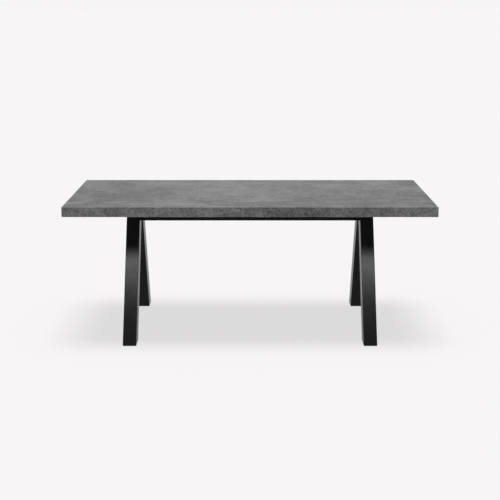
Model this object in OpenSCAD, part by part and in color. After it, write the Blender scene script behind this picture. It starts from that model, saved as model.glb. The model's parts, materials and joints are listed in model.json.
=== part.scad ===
// Extendable dining table: hollow stone-look slab on two slanted tube frames.
// Millimetres, +Z up, X along the length, the front is at -Y.
// Origin on the floor at the centre of the footprint.
// Each end of the slab holds a leaf that slides out on telescopic runners.

/* [Table top] */
// Length of the closed top
top_l = 2000; // [1800:10:2400]
// Depth of the top
top_d = 1000; // [900:10:1100]
// Height of the top face above the floor
top_h = 765; // [730:5:770]
// Thickness of the whole slab
slab_t = 52; // [52:1:60]
// Thickness of the upper panel
skin_top_t = 12; // [10:0.5:12]
// Thickness of the lower panel
skin_bot_t = 14; // [12:0.5:14]
// Thickness of the bands on all four edges
band_t = 2; // [1:0.5:3]
// Width of the long rails inside the slab
rail_w = 28; // [24:1:40]

/* [Leaves] */
// Length of a leaf panel, most of which comes out
leaf_l = 700; // [600:10:760]
// Thickness of a leaf panel
leaf_t = 18; // [15:0.5:18]
// Travel of each leaf
leaf_travel = 450; // [300:10:470]
// Thickness of the fascia at the outer end of a leaf
fascia_t = 22; // [20:1:30]
// Width of the finger pull under a fascia
pull_w = 220; // [120:10:300]

/* [Runners] */
// Wall thickness of the outer and middle members
runner_t = 1.2; // [1:0.1:1.4]
// Wall thickness of the inner member
inner_t = 1.5; // [1.2:0.1:1.6]
// Thickness of the nylon pads
pad_t = 0.9; // [0.6:0.1:1.2]
// Length of each nylon pad
pad_l = 60; // [30:5:100]

/* [Leg frames] */
// Width of a leg, seen from the front
leg_w = 74; // [60:1:90]
// Depth of a leg, square to its slope
leg_d = 100; // [80:1:120]
// Wall thickness of the leg tube
leg_wall = 3; // [2:0.5:5]
// Outer corner radius of the leg tube
leg_r = 3; // [2:0.5:10]
// Distance from the centre of the table to the middle of a frame
leg_x = 655; // [600:1:720]
// Setback of a foot from the edge of the slab
foot_in = 8; // [0:1:120]
// Thickness of the top plates
plate_t = 8; // [6:1:12]

/* [Spine] */
// Height of the spine rails
spine_h = 82; // [70:2:100]
// Width of a spine rail
spine_w = 40; // [30:1:42]
// Distance from the middle of the table to the face of a spine rail
spine_y = 106; // [94:1:140]
// Wall thickness of the spine rails
spine_wall = 2.5; // [2:0.5:4]
// Outer corner radius of the spine rails
spine_r = 2; // [2:0.5:8]

/* [Hidden] */
$fn = 48;

half_l = top_l / 2;
half_d = top_d / 2;
slab_z = top_h - slab_t;                 // underside of the slab
skin_z = top_h - skin_top_t;             // underside of the upper panel
floor_z = slab_z + skin_bot_t;           // inner floor of the slab
in_y = half_d - band_t - rail_w;         // inner face of the long rails
leaf_x = half_l - fascia_t;              // outer end of a leaf panel, closed
leaf_in = leaf_x - leaf_l;               // inner end of a leaf panel, closed
leaf_y = in_y - 14;                      // half width of a leaf panel
leaf_z = floor_z + 4;                    // underside of a leaf panel
cross_w = 24;                            // width of a cross rail
core_x = leaf_in - cross_w - 4;          // half length of the fixed core

run_z = leaf_z + leaf_t / 2;             // height of the runner axis
run_x0 = leaf_in - 2;                    // inner end of the runners
run_l = leaf_l - 1;                      // length of the runners
run_clear = 0.3;                         // play between a pad and the channel round it
outer_h = 23;
middle_h = outer_h - 2 * (runner_t + pad_t + run_clear);
inner_h = middle_h - 2 * (runner_t + pad_t + run_clear);
outer_d = 10;                            // depths of the three channels
middle_d = 8;
inner_d = 9.5;
middle_web = in_y - 2.5;                 // outer face of the middle member's web

screw_r = 2;                             // pan-head wood screws
screw_hole_r = 2.1;
screw_head_r = 4;
bolt_r = 4;                              // 8 mm bolts with flanged hexagon heads
bolt_hole_r = 4.5;
hex_r = 7.5;
hex_h = 7.2;                             // height of a head with its flange
flange_r = 8.9;
flange_t = 1.4;
insert_r = 5.5;                          // threaded inserts for the bolts
insert_l = 12;
dowel_r = 4;

foot_z = 3;                              // thickness of a glide's sole
frame_top = slab_z - plate_t;            // top of the legs
leg_run = half_d - foot_in;              // from the foot's front edge to the middle
// lean: the front edge of the leg meets the top at the face of the spine rail
lean = atan((leg_run - spine_y) / (frame_top - foot_z));
foot_cut = leg_d / cos(lean);            // depth of the flat cut at the floor
leg_spare = 80;                          // tube cut off at each end
leg_in_r = max(0.5, leg_r - leg_wall);   // inner corner radius of the leg tube

steel_black = [0.045, 0.045, 0.05];
stone = [0.42, 0.42, 0.41];
stone_edge = [0.34, 0.34, 0.335];
timber = [0.66, 0.52, 0.36];
zinc = [0.72, 0.73, 0.75];
nylon = [0.86, 0.86, 0.83];

// ---------- small helpers ----------

// box from its low corner to its high corner
module span(a, b) {
  translate(a) cube([b[0] - a[0], b[1] - a[1], b[2] - a[2]]);
}

// mirror into the left half (side -1) or leave in the right half (side 1)
module at_side(side) {
  if (side < 0) mirror([1, 0, 0]) children(); else children();
}

// mirror to the front (face -1) or leave at the rear (face 1)
module at_face(face) {
  if (face < 0) mirror([0, 1, 0]) children(); else children();
}

// rectangle with true round corners, centred
module round_rect(w, d, r) {
  square([w - 2 * r, d], center = true);
  square([w, d - 2 * r], center = true);
  for (x = [-1, 1], y = [-1, 1])
    translate([x * (w / 2 - r), y * (d / 2 - r)]) circle(r);
}

// ---------- slab ----------

saddle_x = [-465, -155, 155, 465];
saddle_y = spine_y + 34;                 // half depth of a saddle plate
saddle_bolt_y = spine_y + 16;
plate_y = 260;                           // half depth and half width of a top plate
plate_dx = 55;
plate_bolt_y = 230;
plate_bolt_dx = 42;

// every place where a bolt goes up into the slab
module each_slab_bolt() {
  for (s = [-1, 1], dx = [-1, 1], y = [-1, 1])
    translate([s * leg_x + dx * plate_bolt_dx, y * plate_bolt_y, 0]) children();
  for (x = saddle_x, y = [-1, 1]) translate([x, y * saddle_bolt_y, 0]) children();
}

module top_panel() {
  color(stone)
    span([-half_l + band_t, -half_d + band_t, skin_z], [half_l - band_t, half_d - band_t, top_h]);
}

// as wide and as long as the upper panel, with a notch for the fascia at each end
module bottom_panel() {
  color(stone_edge) difference() {
    span([-half_l + band_t, -half_d + band_t, slab_z], [half_l - band_t, half_d - band_t, floor_z]);
    for (s = [-1, 1]) at_side(s)
      span([leaf_x - 2, -in_y, slab_z - 1], [half_l, in_y, floor_z + 1]);
    each_slab_bolt() translate([0, 0, slab_z - 1]) cylinder(r = insert_r, h = insert_l + 1);
  }
}

screw_x = [40, run_l / 2, run_l - 40];   // screw places along a runner

module edge_rail() {
  color(timber) difference() {
    span([-half_l + band_t, in_y, floor_z], [half_l - band_t, half_d - band_t, skin_z]);
    for (s = [-1, 1], x = screw_x)
      translate([s * (run_x0 + x), in_y - 1, run_z]) rotate([-90, 0, 0])
        cylinder(r = screw_hole_r, h = 19);
  }
}
module edge_rail_front() { at_face(-1) edge_rail(); }
module edge_rail_rear() { edge_rail(); }

module edge_band() {
  color(stone_edge)
    span([-half_l, half_d - band_t, slab_z], [half_l, half_d, top_h]);
}
module edge_band_front() { at_face(-1) edge_band(); }
module edge_band_rear() { edge_band(); }

// covers the end grain of both panels and of the long rails
module end_band() {
  color(stone_edge) difference() {
    span([half_l - band_t, -half_d + band_t, slab_z], [half_l, half_d - band_t, top_h]);
    span([half_l - band_t - 1, -in_y, slab_z - 1], [half_l + 1, in_y, skin_z]);
  }
}
module end_band_left() { at_side(-1) end_band(); }
module end_band_right() { end_band(); }

// open hexagonal cells between the two panels
cell = 86;
cell_wall = 4;
module honeycomb_core() {
  dx = cell;
  dy = cell * sqrt(3) / 2;
  columns = ceil(core_x / dx);
  rows = ceil(in_y / dy);
  color([0.72, 0.6, 0.42])
    translate([0, 0, floor_z]) linear_extrude(skin_z - floor_z) difference() {
      square([2 * core_x, 2 * in_y], center = true);
      for (i = [-columns:columns], j = [-rows:rows])
        translate([(i + (j % 2 == 0 ? 0 : 0.5)) * dx, j * dy])
          rotate(30) circle(r = (cell - cell_wall) / sqrt(3), $fn = 6);
    }
}

catch_y = 180;
catch_size = [13.8, 30, 14];
catch_in = 12;                           // how far a catch and a buffer are let in
buffer_y = 330;
buffer_in = 8;
buffer_r = 4;
module magnet_place(side) {
  translate([core_x + cross_w - catch_in, side * catch_y - catch_size[1] / 2, floor_z + 5])
    children();
}
module buffer_place(side) {
  translate([core_x + cross_w - buffer_in, side * buffer_y, run_z]) rotate([0, 90, 0]) children();
}

module cross_rail() {
  color(timber) difference() {
    span([core_x, -in_y, floor_z], [core_x + cross_w, in_y, skin_z]);
    for (y = [-1, 1]) {
      magnet_place(y) cube([catch_in + 1, catch_size[1], catch_size[2]]);
      buffer_place(y) cylinder(r = buffer_r, h = buffer_in + 1);
    }
  }
}
module cross_rail_left() { at_side(-1) cross_rail(); }
module cross_rail_right() { cross_rail(); }

// low-friction strips that the leaf runs between
strip_y = [-260, 0, 260];
strip_w = 20;
strip_gap = 0.4;
module glide_strips() {
  x0 = leaf_in + 12;
  x1 = leaf_x - 6;
  color(nylon) for (y = strip_y) {
    span([x0, y - strip_w / 2, floor_z], [x1, y + strip_w / 2, leaf_z - strip_gap]);
    span([x0, y - strip_w / 2, leaf_z + leaf_t + strip_gap], [x1, y + strip_w / 2, skin_z]);
  }
}
module glide_strips_left() { at_side(-1) glide_strips(); }
module glide_strips_right() { glide_strips(); }

// two per side, let into the cross rails
module magnet_catches() {
  color(steel_black) for (s = [-1, 1], y = [-1, 1]) at_side(s) magnet_place(y) cube(catch_size);
}

module stop_buffers() {
  color([0.1, 0.1, 0.1]) for (s = [-1, 1], y = [-1, 1]) at_side(s) buffer_place(y) {
    cylinder(r = buffer_r, h = buffer_in);
    translate([0, 0, buffer_in]) cylinder(r = 7, h = 3.2);
  }
}

// ---------- runners (built for the rear right, mirrored for the rest) ----------

// the pads stay where both members overlap, and the last one meets the stop at full travel
pad_first = 2;
pad_last = run_l - leaf_travel / 2 - pad_l - 16;
pad_x = [pad_first, (pad_first + pad_last) / 2, pad_last];
stop_at = pad_last + pad_l + leaf_travel / 2 + 1;

// channel along X: web on its far side, open towards the middle of the table
module channel(x0, l, y_web, depth, h, t) {
  difference() {
    translate([x0, y_web - depth, run_z - h / 2]) cube([l, depth, h]);
    translate([x0 - 1, y_web - depth - 1, run_z - h / 2 + t])
      cube([l + 2, depth + 1 - t, h - 2 * t]);
  }
}

// pressed stops on the inside of a channel's flanges, which a pad meets at full travel
module stops(x0, y, w, h, t) {
  for (z = [-1, 1])
    translate([x0 + stop_at, y, run_z + z * (h / 2 - t - 0.25) - 0.45]) cube([2, w, 0.9]);
}

module outer_runner() {
  color(zinc) {
    difference() {
      channel(run_x0, run_l, in_y, outer_d, outer_h, runner_t);
      for (x = screw_x) translate([run_x0 + x, in_y - 3, run_z]) rotate([-90, 0, 0])
        cylinder(r = screw_hole_r, h = 5);
    }
    stops(run_x0, in_y - 9, 6, outer_h, runner_t);
  }
}
module outer_runner_left_front() { at_side(-1) at_face(-1) outer_runner(); }
module outer_runner_left_rear() { at_side(-1) outer_runner(); }
module outer_runner_right_front() { at_face(-1) outer_runner(); }
module outer_runner_right_rear() { outer_runner(); }

module rail_screws() {
  color(zinc) for (s = [-1, 1], f = [-1, 1], x = screw_x)
    at_side(s) at_face(f) translate([run_x0 + x, in_y - runner_t, run_z]) rotate([-90, 0, 0]) {
      translate([0, 0, -0.6]) cylinder(r = screw_head_r, h = 0.6);
      cylinder(r = screw_r, h = 17);
    }
}

module middle_runner() {
  color(zinc) {
    channel(run_x0, run_l, middle_web, middle_d, middle_h, runner_t);
    stops(run_x0, leaf_y + 4.3, 5, middle_h, runner_t);
  }
}
module middle_runner_left_front() { at_side(-1) at_face(-1) middle_runner(); }
module middle_runner_left_rear() { at_side(-1) middle_runner(); }
module middle_runner_right_front() { at_face(-1) middle_runner(); }
module middle_runner_right_rear() { middle_runner(); }

// pads on the inner part of the middle member, which never leaves the outer one
module middle_pads() {
  color(nylon) for (x = pad_x, z = [-1, 1])
    translate([run_x0 + x, middle_web - 7, run_z + z * (middle_h / 2 + pad_t / 2) - pad_t / 2])
      cube([pad_l, 6, pad_t]);
}
module middle_pads_left_front() { at_side(-1) at_face(-1) middle_pads(); }
module middle_pads_left_rear() { at_side(-1) middle_pads(); }
module middle_pads_right_front() { at_face(-1) middle_pads(); }
module middle_pads_right_rear() { middle_pads(); }

// channel screwed to the edge of the leaf, open outwards
module inner_runner() {
  color(zinc) difference() {
    translate([run_x0 + 2, leaf_y, run_z - inner_h / 2]) cube([run_l - 2, inner_d, inner_h]);
    translate([run_x0 + 1, leaf_y + inner_t, run_z - inner_h / 2 + inner_t])
      cube([run_l + 2, inner_d, inner_h - 2 * inner_t]);
    for (x = screw_x) translate([run_x0 + 2 + x, leaf_y - 1, run_z]) rotate([-90, 0, 0])
      cylinder(r = screw_hole_r, h = 5);
  }
}
module inner_runner_left_front() { at_side(-1) at_face(-1) inner_runner(); }
module inner_runner_left_rear() { at_side(-1) inner_runner(); }
module inner_runner_right_front() { at_face(-1) inner_runner(); }
module inner_runner_right_rear() { inner_runner(); }

module inner_pads() {
  color(nylon) for (f = [-1, 1], x = pad_x, z = [-1, 1])
    at_face(f)
      translate([run_x0 + x, leaf_y + 3.8,
                 run_z + z * (inner_h / 2 + pad_t / 2) - pad_t / 2])
        cube([pad_l, 5, pad_t]);
}
module inner_pads_left() { at_side(-1) inner_pads(); }
module inner_pads_right() { inner_pads(); }

module leaf_screws() {
  color(zinc) for (f = [-1, 1], x = screw_x)
    at_face(f) translate([run_x0 + 2 + x, leaf_y + inner_t, run_z]) rotate([90, 0, 0]) {
      translate([0, 0, -1]) cylinder(r = screw_head_r, h = 1);
      cylinder(r = screw_r, h = 27);
    }
}
module leaf_screws_left() { at_side(-1) leaf_screws(); }
module leaf_screws_right() { leaf_screws(); }

// ---------- leaves ----------

dowel_gap = (2 * leaf_y - 132) / 3;
dowel_y = [for (k = [-1.5:1.5]) k * dowel_gap];
module leaf_panel() {
  color(stone) difference() {
    span([leaf_in, -leaf_y, leaf_z], [leaf_x, leaf_y, leaf_z + leaf_t]);
    for (y = dowel_y) translate([leaf_x - 22, y, run_z]) rotate([0, 90, 0])
      cylinder(r = dowel_r, h = 23);
    for (f = [-1, 1], x = screw_x) at_face(f)
      translate([run_x0 + 2 + x, leaf_y + 1, run_z]) rotate([90, 0, 0])
        cylinder(r = screw_hole_r, h = 28);
  }
}
module leaf_panel_left() { at_side(-1) leaf_panel(); }
module leaf_panel_right() { leaf_panel(); }

// closes the end of the slab; the finger pull is a round-ended groove underneath
module leaf_fascia() {
  r = 6;                                 // half the width of the groove
  groove_x = leaf_x + 5 + r;
  groove_z = slab_z + 7;                 // where its round top begins
  color(stone_edge) difference() {
    span([leaf_x, -in_y + 2, slab_z], [half_l, in_y - 2, skin_z - 1.5]);
    for (y = dowel_y) translate([leaf_x - 1, y, run_z]) rotate([0, 90, 0])
      cylinder(r = dowel_r, h = 15);
    span([groove_x - r, -pull_w / 2, slab_z - 1], [groove_x + r, pull_w / 2, groove_z]);
    translate([groove_x, -pull_w / 2, groove_z]) rotate([-90, 0, 0]) cylinder(r = r, h = pull_w);
    for (y = [-1, 1]) translate([groove_x, y * pull_w / 2, slab_z - 1])
      cylinder(r = r, h = groove_z - slab_z + 1);
  }
}
module leaf_fascia_left() { at_side(-1) leaf_fascia(); }
module leaf_fascia_right() { leaf_fascia(); }

module fascia_dowels() {
  color(timber) for (y = dowel_y)
    translate([leaf_x - 21, y, run_z]) rotate([0, 90, 0]) cylinder(r = dowel_r, h = 34);
}
module fascia_dowels_left() { at_side(-1) fascia_dowels(); }
module fascia_dowels_right() { fascia_dowels(); }

// steel strips on the inner edge of the leaf that the magnets hold
module strike_plate() {
  color(zinc) for (y = [-1, 1])
    span([leaf_in - 1.5, y * catch_y - 18, leaf_z + 1], [leaf_in, y * catch_y + 18, leaf_z + 15]);
}
module strike_plate_left() { at_side(-1) strike_plate(); }
module strike_plate_right() { strike_plate(); }

// ---------- sub-frame ----------

frame_bolt_y = 44;
frame_bolt_z = [frame_top - 56, frame_top - 24];
// bolt places on the rear half of an end plate, pointing along +X
module each_rear_bolt() {
  for (z = frame_bolt_z) translate([0, frame_bolt_y, z]) rotate([0, 90, 0]) children();
}
module each_frame_bolt() {
  for (f = [-1, 1]) at_face(f) each_rear_bolt() children();
}

// rear right leg: a straight tube cut level at both ends and plumb at the middle,
// with two holes in its inner side for the bolts of the end plate
module leg() {
  color(steel_black) difference() {
    intersection() {
      translate([leg_x, half_d - foot_in, foot_z]) rotate([lean, 0, 0])
        translate([0, -leg_d / 2, -leg_spare])
          linear_extrude((frame_top - foot_z) / cos(lean) + 2 * leg_spare) difference() {
            round_rect(leg_w, leg_d, leg_r);
            round_rect(leg_w - 2 * leg_wall, leg_d - 2 * leg_wall, leg_in_r);
          }
      span([leg_x - leg_w, 0, foot_z], [leg_x + leg_w, half_d, frame_top]);
    }
    translate([leg_x - leg_w / 2 - 1, 0, 0]) each_rear_bolt()
      cylinder(r = bolt_hole_r, h = leg_wall + 2);
  }
}
module leg_front_left() { at_side(-1) at_face(-1) leg(); }
module leg_rear_left() { at_side(-1) leg(); }
module leg_front_right() { at_face(-1) leg(); }
module leg_rear_right() { leg(); }

// plug that follows the tube's slope, with a sole a little inside the leg's outline
module foot_glide() {
  slack = 0.4;
  inset = 1.5;
  intersection() {
    translate([0, half_d - foot_in, foot_z]) rotate([lean, 0, 0])
      translate([0, -leg_d / 2, -leg_spare]) linear_extrude(2 * leg_spare)
        round_rect(leg_w - 2 * leg_wall - slack, leg_d - 2 * leg_wall - slack, leg_in_r);
    span([-leg_w, 0, foot_z], [leg_w, half_d, foot_z + 25]);
  }
  span([-leg_w / 2 + inset, half_d - foot_in - foot_cut + inset, 0],
       [leg_w / 2 - inset, half_d - foot_in - inset, foot_z]);
}
module foot_glides() {
  color([0.07, 0.07, 0.07]) for (s = [-1, 1], f = [-1, 1])
    translate([s * leg_x, 0, 0]) at_face(f) foot_glide();
}

module top_plate() {
  color(steel_black) difference() {
    translate([leg_x - plate_dx, -plate_y, frame_top]) cube([2 * plate_dx, 2 * plate_y, plate_t]);
    for (dx = [-1, 1], y = [-1, 1])
      translate([leg_x + dx * plate_bolt_dx, y * plate_bolt_y, frame_top - 1])
        cylinder(r = bolt_hole_r, h = plate_t + 2);
  }
}
module top_plate_left() { at_side(-1) top_plate(); }
module top_plate_right() { top_plate(); }

end_plate_t = 6;
spine_x = leg_x - leg_w / 2 - end_plate_t;
module spine_rail() {
  color(steel_black) translate([-spine_x, spine_y - spine_w / 2, frame_top - spine_h / 2])
    rotate([90, 0, 90]) linear_extrude(2 * spine_x) difference() {
      round_rect(spine_w, spine_h, spine_r);
      round_rect(spine_w - 2 * spine_wall, spine_h - 2 * spine_wall,
                 max(0.5, spine_r - spine_wall));
    }
}
module spine_rail_front() { at_face(-1) spine_rail(); }
module spine_rail_rear() { spine_rail(); }

// joins both legs of a frame across the apex and carries the spine rails
module spine_end_plate() {
  color(steel_black) difference() {
    span([spine_x, -spine_y, frame_top - spine_h], [spine_x + end_plate_t, spine_y, frame_top]);
    translate([spine_x - 1, 0, 0]) each_frame_bolt()
      cylinder(r = bolt_hole_r, h = end_plate_t + 2);
  }
}
module spine_end_plate_left() { at_side(-1) spine_end_plate(); }
module spine_end_plate_right() { spine_end_plate(); }

module saddle_plates() {
  color(steel_black) for (x = saddle_x) difference() {
    translate([x - 30, -saddle_y, frame_top]) cube([60, 2 * saddle_y, plate_t]);
    for (y = [-1, 1])
      translate([x, y * saddle_bolt_y, frame_top - 1])
        cylinder(r = bolt_hole_r, h = plate_t + 2);
  }
}

// bolt along +Z with the bearing face of its flange at the origin
module bolt(l) {
  translate([0, 0, -hex_h]) cylinder(r = hex_r, h = hex_h, $fn = 6);
  translate([0, 0, -flange_t]) cylinder(r = flange_r, h = flange_t);
  cylinder(r = bolt_r, h = l);
}

// bolts up into the slab
module slab_bolts() {
  color(zinc) each_slab_bolt() translate([0, 0, frame_top]) bolt(plate_t + 10);
}

module threaded_inserts() {
  color([0.75, 0.6, 0.3]) each_slab_bolt() difference() {
    translate([0, 0, slab_z]) cylinder(r = insert_r, h = insert_l);
    translate([0, 0, slab_z - 1]) cylinder(r = bolt_r, h = insert_l - 1);
  }
}

module frame_bolts() {
  color(zinc) for (s = [-1, 1]) at_side(s) translate([spine_x, 0, 0]) each_frame_bolt() bolt(20);
}

// welded inside the legs behind the holes
module frame_nuts() {
  color(zinc) for (s = [-1, 1]) at_side(s)
    translate([spine_x + end_plate_t + leg_wall, 0, 0]) each_frame_bolt() difference() {
      cylinder(r = hex_r, h = 6.5, $fn = 6);
      translate([0, 0, -1]) cylinder(r = bolt_r, h = 8.5);
    }
}

top_panel();
bottom_panel();
edge_rail_front();
edge_rail_rear();
edge_band_front();
edge_band_rear();
end_band_left();
end_band_right();
honeycomb_core();
cross_rail_left();
cross_rail_right();
glide_strips_left();
glide_strips_right();
magnet_catches();
stop_buffers();
outer_runner_left_front();
outer_runner_left_rear();
outer_runner_right_front();
outer_runner_right_rear();
rail_screws();
middle_runner_left_front();
middle_runner_left_rear();
middle_runner_right_front();
middle_runner_right_rear();
middle_pads_left_front();
middle_pads_left_rear();
middle_pads_right_front();
middle_pads_right_rear();
leaf_panel_left();
leaf_panel_right();
leaf_fascia_left();
leaf_fascia_right();
fascia_dowels_left();
fascia_dowels_right();
strike_plate_left();
strike_plate_right();
inner_runner_left_front();
inner_runner_left_rear();
inner_runner_right_front();
inner_runner_right_rear();
inner_pads_left();
inner_pads_right();
leaf_screws_left();
leaf_screws_right();
leg_front_left();
leg_rear_left();
leg_front_right();
leg_rear_right();
foot_glides();
top_plate_left();
top_plate_right();
spine_rail_front();
spine_rail_rear();
spine_end_plate_left();
spine_end_plate_right();
saddle_plates();
slab_bolts();
threaded_inserts();
frame_bolts();
frame_nuts();
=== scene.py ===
import bpy
import bmesh
import json
import math
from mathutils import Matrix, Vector


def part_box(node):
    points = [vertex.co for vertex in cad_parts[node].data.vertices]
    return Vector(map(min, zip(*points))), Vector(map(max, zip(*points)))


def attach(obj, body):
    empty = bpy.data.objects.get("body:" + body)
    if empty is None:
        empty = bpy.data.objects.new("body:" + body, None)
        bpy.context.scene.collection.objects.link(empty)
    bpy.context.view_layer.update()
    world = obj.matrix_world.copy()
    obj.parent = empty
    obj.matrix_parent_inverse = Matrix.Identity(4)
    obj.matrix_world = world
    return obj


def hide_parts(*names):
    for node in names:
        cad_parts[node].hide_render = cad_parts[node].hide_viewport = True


# An extendable dining table: concrete-look slab, satin black slanted legs.
# Metres; X along the table, the front is at -Y, the floor is at Z = 0.

PALE = (0.926, 0.910, 0.918)    # floor and studio
FLOOR_MATTE = 0.22              # share of the floor's white that takes shadows
FLOOR_GLOW = 0.742              # share that is even, so the floor stays pale
FLOOR_RADIUS = 400.0            # far enough that its edge is never seen
STUDIO_POWER = 2.0
# the studio's bands: the sine of the elevation, and the share of the power there
STUDIO_BANDS = ((0.0, 0.5), (0.19, 0.5), (0.36, 0.075), (0.84, 0.075), (0.92, 0.5), (1.0, 0.5))
SHARP = math.radians(40)        # edges sharper than this are eased
FLAT = math.radians(2)          # faces closer than this are one face
TOUCH = 1e-4                    # two measures this close are the same place

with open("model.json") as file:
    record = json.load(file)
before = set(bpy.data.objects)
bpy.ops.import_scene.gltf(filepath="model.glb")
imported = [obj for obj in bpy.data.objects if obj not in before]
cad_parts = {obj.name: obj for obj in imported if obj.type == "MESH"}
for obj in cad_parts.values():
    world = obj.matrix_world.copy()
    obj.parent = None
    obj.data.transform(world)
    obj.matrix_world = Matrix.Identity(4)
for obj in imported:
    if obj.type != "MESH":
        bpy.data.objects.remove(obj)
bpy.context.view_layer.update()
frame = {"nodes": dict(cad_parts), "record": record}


# ---------------------------------------------------------------- materials

class Nodes:
    """Small helper that lays out one node material."""

    def __init__(self, name):
        self.mat = bpy.data.materials.new(name)
        self.mat.use_nodes = True
        self.tree = self.mat.node_tree
        self.tree.nodes.clear()
        out = self.add("ShaderNodeOutputMaterial")
        self.bsdf = self.add("ShaderNodeBsdfPrincipled")
        self.link(self.bsdf.outputs["BSDF"], out.inputs["Surface"])
        self.coord = self.add("ShaderNodeTexCoord").outputs["Object"]

    def add(self, kind):
        return self.tree.nodes.new(kind)

    def link(self, a, b):
        self.tree.links.new(a, b)

    def mapped(self, scale=(1, 1, 1), turn=(0, 0, 0), shift=(0, 0, 0)):
        """Object coordinates, moved, turned and stretched."""
        m = self.add("ShaderNodeMapping")
        m.inputs["Location"].default_value = shift
        m.inputs["Rotation"].default_value = turn
        m.inputs["Scale"].default_value = scale
        self.link(self.coord, m.inputs["Vector"])
        return m.outputs["Vector"]

    def noise(self, scale, detail=4.0, rough=0.55, vector=None, distortion=0.0):
        n = self.add("ShaderNodeTexNoise")
        n.inputs["Scale"].default_value = scale
        n.inputs["Detail"].default_value = detail
        n.inputs["Roughness"].default_value = rough
        n.inputs["Distortion"].default_value = distortion
        self.link(vector if vector is not None else self.coord, n.inputs["Vector"])
        return n.outputs["Fac"]

    def cells(self, scale):
        n = self.add("ShaderNodeTexVoronoi")
        n.inputs["Scale"].default_value = scale
        self.link(self.coord, n.inputs["Vector"])
        return n.outputs["Distance"]

    def span(self, value, lo, hi, to_lo, to_hi):
        """A value mapped from one range to another, and kept inside it."""
        m = self.add("ShaderNodeMapRange")
        m.inputs["From Min"].default_value = lo
        m.inputs["From Max"].default_value = hi
        m.inputs["To Min"].default_value = to_lo
        m.inputs["To Max"].default_value = to_hi
        self.link(value, m.inputs["Value"])
        return m.outputs["Result"]

    def math(self, op, a, b):
        m = self.add("ShaderNodeMath")
        m.operation = op
        for i, v in enumerate((a, b)):
            if isinstance(v, (int, float)):
                m.inputs[i].default_value = v
            else:
                self.link(v, m.inputs[i])
        return m.outputs["Value"]

    def ramp(self, value, stops):
        r = self.add("ShaderNodeValToRGB")
        el = r.color_ramp.elements
        while len(el) < len(stops):
            el.new(0.5)
        for e, (pos, col) in zip(el, stops):
            e.position = pos
            e.color = (*col, 1.0)
        self.link(value, r.inputs["Fac"])
        return r.outputs["Color"]

    def bump(self, height, strength, distance):
        b = self.add("ShaderNodeBump")
        b.inputs["Strength"].default_value = strength
        b.inputs["Distance"].default_value = distance
        self.link(height, b.inputs["Height"])
        self.link(b.outputs["Normal"], self.bsdf.inputs["Normal"])

    def colour(self, socket):
        self.link(socket, self.bsdf.inputs["Base Color"])

    def rough(self, socket):
        self.link(socket, self.bsdf.inputs["Roughness"])

    def set(self, **values):
        for k, v in values.items():
            self.bsdf.inputs[k.replace("_", " ")].default_value = v


def grey(v):
    return (v, v, v)


def stone(v):
    """A grey a little greener than neutral, which the bounce from the floor evens out."""
    return (v * 0.993, v * 1.007, v)


GRAIN_SHARE = 0.3       # share of the finest layer in the decor
DECOR_SPREAD = 0.28     # how far the summed layers stray from their middle


def concrete(name, level, contrast, rough_lo, rough_hi, wide=1.0, clouds=1.0, blots=1.0):
    """Printed concrete decor: wide clouds, trowel streaks, blots, fine grain and a few pores."""
    n = Nodes(name)
    aside = n.mapped(shift=(3.1, 1.4, 0))
    trowelled = n.mapped(scale=(0.55, 1.5, 1.5), turn=(0, 0, 0.12))
    # the layers from wide to fine, each with its share
    layers = (
        (n.noise(1.2, 2.0, 0.5, aside), 0.65 * wide),
        (n.noise(4.6, 6.0, 0.6, distortion=0.6), 0.75 * clouds),
        (n.noise(9.0, 5.0, 0.6, trowelled), 0.45 * clouds),
        (n.noise(15.0, 6.0, 0.62, distortion=0.3), 0.65 * clouds),
        (n.noise(46.0, 4.0, 0.6), 0.8 * blots),
        (n.noise(125.0, 3.0, 0.6), 1.0),
    )
    grain = n.noise(330.0, 3.0, 0.65)
    total = n.math("MULTIPLY", grain, GRAIN_SHARE)
    weight = GRAIN_SHARE
    for value, share in layers:
        total = n.math("ADD", total, n.math("MULTIPLY", value, share))
        weight += share
    middle = 0.5 * weight
    total = n.span(total, middle - DECOR_SPREAD, middle + DECOR_SPREAD, 0.0, 1.0)
    darkest = level * (1 - contrast)
    tone = n.ramp(total, [(0.0, stone(darkest)),
                          (0.35, stone(level * (1 - 0.35 * contrast))),
                          (0.62, stone(level * (1 + 0.3 * contrast))),
                          (1.0, stone(level * (1 + contrast)))])
    # a pore is the middle of a cell, and most cells are filled in
    filled = n.span(n.cells(260.0), 0.05, 0.16, 0.0, 1.0)
    no_pores = n.span(n.noise(38.0, 2.0, 0.5), 0.56, 0.6, 1.0, 0.0)
    filled = n.math("MAXIMUM", filled, no_pores)
    mix = n.add("ShaderNodeMix")
    mix.data_type = "RGBA"
    mix.inputs["A"].default_value = (*stone(darkest * 0.55), 1.0)
    n.link(tone, mix.inputs["B"])
    n.link(filled, mix.inputs["Factor"])
    n.colour(mix.outputs["Result"])
    n.rough(n.span(total, 0.0, 1.0, rough_lo, rough_hi))
    n.bump(n.math("MULTIPLY", grain, filled), 0.25, 0.0006)
    n.set(Specular_IOR_Level=0.3)
    return n.mat


def powder_coat(name, level, rough_lo, rough_hi):
    """Satin powder coat with a fine orange-peel skin."""
    n = Nodes(name)
    tint = n.noise(6.0, 3.0, 0.5)
    n.colour(n.ramp(tint, [(0.3, grey(level * 0.85)), (0.7, grey(level * 1.15))]))
    n.rough(n.span(n.noise(22.0, 4.0, 0.6), 0.3, 0.7, rough_lo, rough_hi))
    peel = n.math("ADD", n.noise(420.0, 2.0, 0.5),
                  n.math("MULTIPLY", n.noise(1300.0, 1.0, 0.5), 0.4))
    n.bump(peel, 0.10, 0.0004)
    n.set(Specular_IOR_Level=0.05)
    return n.mat


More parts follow.
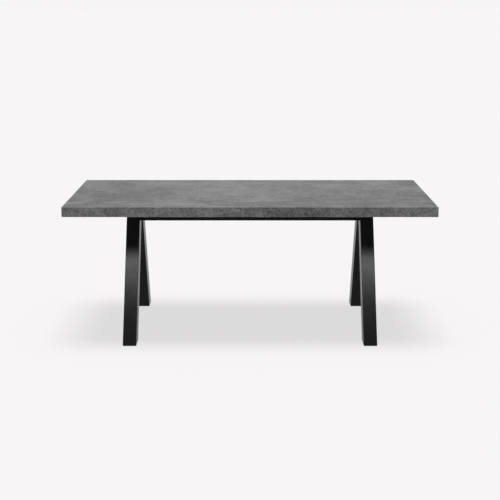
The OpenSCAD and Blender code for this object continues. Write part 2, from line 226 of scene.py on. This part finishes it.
def zinc(name):
    """Zinc-plated steel, faintly cloudy, drawn along X."""
    n = Nodes(name)
    draw = n.noise(60.0, 4.0, 0.6, n.mapped(scale=(0.12, 4.0, 4.0)))
    cloud = n.noise(30.0, 3.0, 0.5)
    n.colour(n.ramp(n.math("MULTIPLY", n.math("ADD", draw, cloud), 0.5),
                    [(0.3, (0.30, 0.31, 0.33)), (0.7, (0.46, 0.47, 0.49))]))
    n.rough(n.span(draw, 0.3, 0.7, 0.40, 0.55))
    n.bump(draw, 0.05, 0.0003)
    n.set(Metallic=1.0)
    return n.mat


def brass(name):
    """Turned brass, slightly dulled."""
    n = Nodes(name)
    cloud = n.noise(120.0, 3.0, 0.5)
    n.colour(n.ramp(cloud, [(0.3, (0.50, 0.34, 0.12)), (0.7, (0.66, 0.48, 0.2))]))
    n.rough(n.span(cloud, 0.3, 0.7, 0.25, 0.4))
    n.bump(cloud, 0.05, 0.0002)
    n.set(Metallic=1.0)
    return n.mat


def moulded(name, lo, hi, rough_lo, rough_hi, spec=0.5):
    """Moulded plastic or rubber with a fine spark-eroded texture."""
    n = Nodes(name)
    cloud = n.noise(40.0, 3.0, 0.5)
    grain = n.noise(900.0, 2.0, 0.6)
    n.colour(n.ramp(cloud, [(0.3, lo), (0.7, hi)]))
    n.rough(n.span(grain, 0.3, 0.7, rough_lo, rough_hi))
    n.bump(grain, 0.12, 0.0002)
    n.set(Specular_IOR_Level=spec)
    return n.mat


def timber(name, dark, light, along):
    """Planed wood with its grain along one axis."""
    n = Nodes(name)
    stretch = [9.0, 9.0, 9.0]
    stretch[along] = 0.7
    v = n.mapped(scale=tuple(stretch))
    rings = n.add("ShaderNodeTexWave")
    rings.wave_type = "RINGS"
    rings.rings_direction = "XYZ"[along]
    rings.inputs["Scale"].default_value = 1.6
    rings.inputs["Distortion"].default_value = 3.5
    rings.inputs["Detail"].default_value = 3.0
    n.link(v, rings.inputs["Vector"])
    fibre = n.noise(14.0, 6.0, 0.65, v)
    both = n.math("ADD", n.math("MULTIPLY", rings.outputs["Fac"], 0.45),
                  n.math("MULTIPLY", fibre, 0.55))
    n.colour(n.ramp(both, [(0.2, dark), (0.8, light)]))
    n.rough(n.span(fibre, 0.3, 0.7, 0.5, 0.68))
    n.bump(fibre, 0.12, 0.0004)
    return n.mat


PINE = ((0.30, 0.19, 0.10), (0.46, 0.31, 0.17))

# one look for each material slot of the record
LOOKS = {
    "concrete_laminate": concrete("concrete_laminate", 0.169, 0.45, 0.50, 0.60),
    "concrete_edge": concrete("concrete_edge", 0.134, 0.65, 0.52, 0.62,
                              wide=0.1, clouds=0.8, blots=0.6),
    "backing_board": concrete("backing_board", 0.085, 0.30, 0.55, 0.65),
    "timber": timber("timber_long", *PINE, 0),
    "honeycomb": timber("honeycomb", (0.30, 0.21, 0.12), (0.42, 0.30, 0.18), 2),
    "nylon": moulded("nylon", (0.62, 0.61, 0.56), (0.72, 0.71, 0.66), 0.38, 0.5),
    "black_plastic": moulded("black_plastic", grey(0.010), grey(0.016), 0.45, 0.58),
    "rubber": moulded("rubber", grey(0.014), grey(0.022), 0.65, 0.8, 0.35),
    "brass": brass("brass"),
    "zinc_steel": zinc("zinc_steel"),
    "black_steel": powder_coat("black_steel", 0.0105, 0.25, 0.30),
}
# nodes whose look differs from their slot's
OWN_LOOKS = {
    "cross_rail": timber("timber_cross", *PINE, 1),
    # spine rails: a rougher coat, and a base colour darker than the legs' that is painted shade
    # under the slab
    "spine_rail": powder_coat("black_steel_matt_painted_shade", 0.0065, 0.42, 0.50),
}

slot_of = {s["node"]: s["material_slot"] for s in frame["record"]["subparts"]}
body_of = {n: b for b, ns in frame["record"]["behaviour"]["bodies"].items() for n in ns}

for name, obj in frame["nodes"].items():
    look = LOOKS[slot_of[name]]
    for start, own in OWN_LOOKS.items():
        if name.startswith(start):
            look = own
    for slot in obj.material_slots:
        slot.material = look


# ---------------------------------------------------------------- eased edges

def ease(name, width, segments=2):
    """Small round arris on a carried-over node, as a modifier."""
    m = frame["nodes"][name].modifiers.new("ease", "BEVEL")
    m.width = width
    m.segments = segments
    m.limit_method = "ANGLE"
    m.angle_limit = SHARP
    m.harden_normals = False


for name in frame["nodes"]:
    if name.startswith(("top_plate", "saddle", "spine_end", "leaf_panel")):
        ease(name, 0.0008)
    if name.startswith("spine_rail"):
        ease(name, 0.0014, 3)
    if name in ("slab_bolts", "frame_bolts", "frame_nuts", "foot_glides"):
        ease(name, 0.0005)


def eased_copy(name, width, pick, segments=3):
    """A copy of a node whose picked sharp edges are rounded. It stands for the node."""
    mesh = frame["nodes"][name].data.copy()
    bm = bmesh.new()
    bm.from_mesh(mesh)
    bmesh.ops.remove_doubles(bm, verts=bm.verts, dist=1e-6)
    bmesh.ops.dissolve_limit(bm, angle_limit=FLAT, verts=bm.verts, edges=bm.edges)
    sharp = [e for e in bm.edges if len(e.link_faces) == 2
             and e.calc_face_angle(0.0) > SHARP
             and pick((e.verts[0].co + e.verts[1].co) / 2)]
    bmesh.ops.bevel(bm, geom=sharp, offset=width, segments=segments, profile=0.5,
                    affect="EDGES", clamp_overlap=True)
    bmesh.ops.recalc_face_normals(bm, faces=bm.faces)
    for f in bm.faces:
        f.smooth = False
    bm.to_mesh(mesh)
    bm.free()
    piece = bpy.data.objects.new("shaped_" + name, mesh)
    bpy.context.scene.collection.objects.link(piece)
    mesh.materials.clear()
    mesh.materials.append(LOOKS[slot_of[name]])
    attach(piece, body_of[name])
    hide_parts(name)


BAND_ROUND = 0.0007
FASCIA_ROUND = 0.0009

# the bands are rounded on the slab's outer arrises only, so they meet the panel without a groove
for name in ("edge_band_front", "edge_band_rear"):
    y_out = max(abs(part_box(name)[0].y), abs(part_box(name)[1].y))
    eased_copy(name, BAND_ROUND, lambda p, y=y_out: abs(abs(p.y) - y) < TOUCH)
for name in ("end_band_left", "end_band_right"):
    x_out = max(abs(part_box(name)[0].x), abs(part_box(name)[1].x))
    eased_copy(name, BAND_ROUND, lambda p, x=x_out: abs(abs(p.x) - x) < TOUCH)
for name in ("leaf_fascia_left", "leaf_fascia_right"):
    x_out = max(abs(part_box(name)[0].x), abs(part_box(name)[1].x))
    z_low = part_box(name)[0].z
    eased_copy(name, FASCIA_ROUND,
               lambda p, x=x_out, z=z_low: abs(abs(p.x) - x) < TOUCH or abs(p.z - z) < TOUCH)


# ---------------------------------------------------------------- welds

BEAD_R = 0.0024         # radius of a weld bead on a ripple
BEAD_DIP = 0.86         # its radius between ripples, as a share of that
BEAD_END = 0.6          # how far it narrows at its ends
BEAD_STEP = 0.0013      # spacing of its rings
BEAD_SIDES = 8
SADDLE_REACH = 0.03     # a saddle plate reaches at least this far past the rails


def bead(bm, path):
    """Rippled bead swept along straight runs, each a pair of corners of the path."""
    for a, b in zip(path, path[1:]):
        a, b = Vector(a), Vector(b)
        along = (b - a).normalized()
        side = along.orthogonal().normalized()
        up = along.cross(side)
        count = max(2, round((b - a).length / BEAD_STEP))
        rings = []
        for i in range(count + 1):
            centre = a.lerp(b, i / count)
            r = BEAD_R * (1.0 if i % 2 else BEAD_DIP)
            if i in (0, count):
                r *= BEAD_END
            ring = []
            for k in range(BEAD_SIDES):
                turn = 2 * math.pi * k / BEAD_SIDES
                out = math.cos(turn) * side + math.sin(turn) * up
                ring.append(bm.verts.new(centre + r * out))
            rings.append(ring)
        for lower, upper in zip(rings, rings[1:]):
            for k in range(BEAD_SIDES):
                m = (k + 1) % BEAD_SIDES
                bm.faces.new((lower[k], lower[m], upper[m], upper[k]))
        bm.faces.new(list(reversed(rings[0])))
        bm.faces.new(rings[-1])


def make_welds():
    """Beads round the tops of the legs, at their forks, and along the spine's plates."""
    leg_lo, leg_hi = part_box("leg_rear_right")
    rail_lo, rail_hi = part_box("spine_rail_rear")
    z = leg_hi.z
    # a leg's outer face meets the top plate in line with the rail's outer face
    y = rail_hi.y
    slope = (leg_hi.y - y) / (z - leg_lo.z)
    # its inner face starts here on the floor, and crosses the other leg's at the fork
    inner_y = min(v.co.y for v in frame["nodes"]["leg_rear_right"].data.vertices
                  if v.co.z < leg_lo.z + TOUCH)
    fork = leg_lo.z + inner_y / slope
    # the ends of the saddle plates along X, where they reach past the rails
    saddle_ends = sorted({round(v.co.x, 4)
                          for v in frame["nodes"]["saddle_plates"].data.vertices
                          if abs(v.co.y) > y + SADDLE_REACH})
    bm = bmesh.new()
    for s in (-1, 1):
        x_in, x_out = s * leg_lo.x, s * leg_hi.x
        bead(bm, [(x_in, y, z), (x_out, y, z), (x_out, -y, z), (x_in, -y, z)])
        bead(bm, [(x_in, 0, fork), (x_out, 0, fork), (x_out, 0, z)])
        for f in (-1, 1):
            bead(bm, [(s * rail_hi.x, f * rail_lo.y, z), (s * rail_hi.x, f * rail_lo.y, rail_lo.z)])
    for f in (-1, 1):
        for edge in (rail_lo.y, rail_hi.y):
            for x0, x1 in zip(saddle_ends[0::2], saddle_ends[1::2]):
                bead(bm, [(x0, f * edge, z), (x1, f * edge, z)])
    bmesh.ops.recalc_face_normals(bm, faces=bm.faces)
    for face in bm.faces:
        face.smooth = True
    mesh = bpy.data.meshes.new("weld_beads")
    bm.to_mesh(mesh)
    bm.free()
    mesh.materials.append(LOOKS["black_steel"])
    piece = bpy.data.objects.new("weld_beads", mesh)
    bpy.context.scene.collection.objects.link(piece)
    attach(piece, "table")
    return piece


WELDS = make_welds()


# ---------------------------------------------------------------- stage

def times(colour, v):
    """A colour times a factor, with full alpha."""
    return (*[c * v for c in colour], 1.0)


def make_floor():
    """A plain pale floor that is partly lit and partly even."""
    mesh = bpy.data.meshes.new("floor")
    bm = bmesh.new()
    bmesh.ops.create_circle(bm, cap_ends=True, segments=96, radius=FLOOR_RADIUS)
    bm.to_mesh(mesh)
    bm.free()
    floor = bpy.data.objects.new("floor", mesh)
    bpy.context.scene.collection.objects.link(floor)
    mat = bpy.data.materials.new("pale_floor")
    mat.use_nodes = True
    t = mat.node_tree
    t.nodes.clear()
    out = t.nodes.new("ShaderNodeOutputMaterial")
    both = t.nodes.new("ShaderNodeAddShader")
    matte = t.nodes.new("ShaderNodeBsdfDiffuse")
    glow = t.nodes.new("ShaderNodeEmission")
    matte.inputs["Color"].default_value = times(PALE, FLOOR_MATTE)
    glow.inputs["Color"].default_value = times(PALE, 1.0)
    glow.inputs["Strength"].default_value = FLOOR_GLOW
    t.links.new(matte.outputs[0], both.inputs[0])
    t.links.new(glow.outputs[0], both.inputs[1])
    t.links.new(both.outputs[0], out.inputs["Surface"])
    mesh.materials.append(mat)


make_floor()


def make_world():
    """A pale studio that is darker between a low band and the ceiling."""
    world = bpy.data.worlds.new("studio")
    bpy.context.scene.world = world
    world.use_nodes = True
    t = world.node_tree
    t.nodes.clear()
    out = t.nodes.new("ShaderNodeOutputWorld")
    bg = t.nodes.new("ShaderNodeBackground")
    coord = t.nodes.new("ShaderNodeTexCoord")
    sep = t.nodes.new("ShaderNodeSeparateXYZ")
    ramp = t.nodes.new("ShaderNodeValToRGB")
    el = ramp.color_ramp.elements
    while len(el) < len(STUDIO_BANDS):
        el.new(0.5)
    for e, (pos, v) in zip(el, STUDIO_BANDS):
        e.position = pos
        e.color = times(PALE, v)
    bg.inputs["Strength"].default_value = STUDIO_POWER
    t.links.new(coord.outputs["Generated"], sep.inputs[0])
    t.links.new(sep.outputs["Z"], ramp.inputs["Fac"])
    t.links.new(ramp.outputs["Color"], bg.inputs["Color"])
    t.links.new(bg.outputs[0], out.inputs["Surface"])


make_world()


def make_light(name, kind, power):
    data = bpy.data.lights.new(name, kind)
    data.energy = power
    obj = bpy.data.objects.new(name, data)
    bpy.context.scene.collection.objects.link(obj)
    return obj


def light_only(light, pieces):
    """A flagged light: it reaches only these pieces."""
    flagged = bpy.data.collections.new(light.name + "_receivers")
    for piece in pieces:
        flagged.objects.link(piece)
    light.light_linking.receiver_collection = flagged


# wide soft key straight overhead
key = make_light("key", "SUN", 2.6)
key.data.angle = math.radians(27)

# strip box in front, which the sloping legs mirror; it is flagged off the slab
STRIP_PLACE = Vector((0, -1.15, 1.33))
STRIP_TARGET = Vector((0, -0.22, 0.48))
STRIP_LENGTH = 2.4
STRIP_HEIGHT = 0.21
strip = make_light("strip_front", "AREA", 79.0)
strip.data.shape = "RECTANGLE"
strip.data.size = STRIP_LENGTH
strip.data.size_y = STRIP_HEIGHT
strip.location = STRIP_PLACE
strip.rotation_euler = (STRIP_TARGET - STRIP_PLACE).to_track_quat("-Z", "Y").to_euler()
strip.visible_diffuse = False
strip.visible_camera = False
light_only(strip, [WELDS] + [obj for name, obj in frame["nodes"].items()
                             if slot_of[name] == "black_steel"])


# ---------------------------------------------------------------- camera

AWAY = 6.2177           # from the slab's front face
ABOVE = 1.0580          # above its top
TILT = 11.704           # degrees below the horizon
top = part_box("top_panel")[1].z
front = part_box("edge_band_front")[0].y
cam = bpy.data.cameras.new("camera")
cam.sensor_width = 36.0
cam.lens = 85.68
cam.clip_end = 2000.0
cam_obj = bpy.data.objects.new("camera", cam)
bpy.context.scene.collection.objects.link(cam_obj)
cam_obj.location = (0, front - AWAY, top + ABOVE)
cam_obj.rotation_euler = (math.radians(90 - TILT), 0, 0)
bpy.context.scene.camera = cam_obj

bpy.context.scene.view_settings.view_transform = "Standard"
bpy.context.scene.view_settings.look = "None"
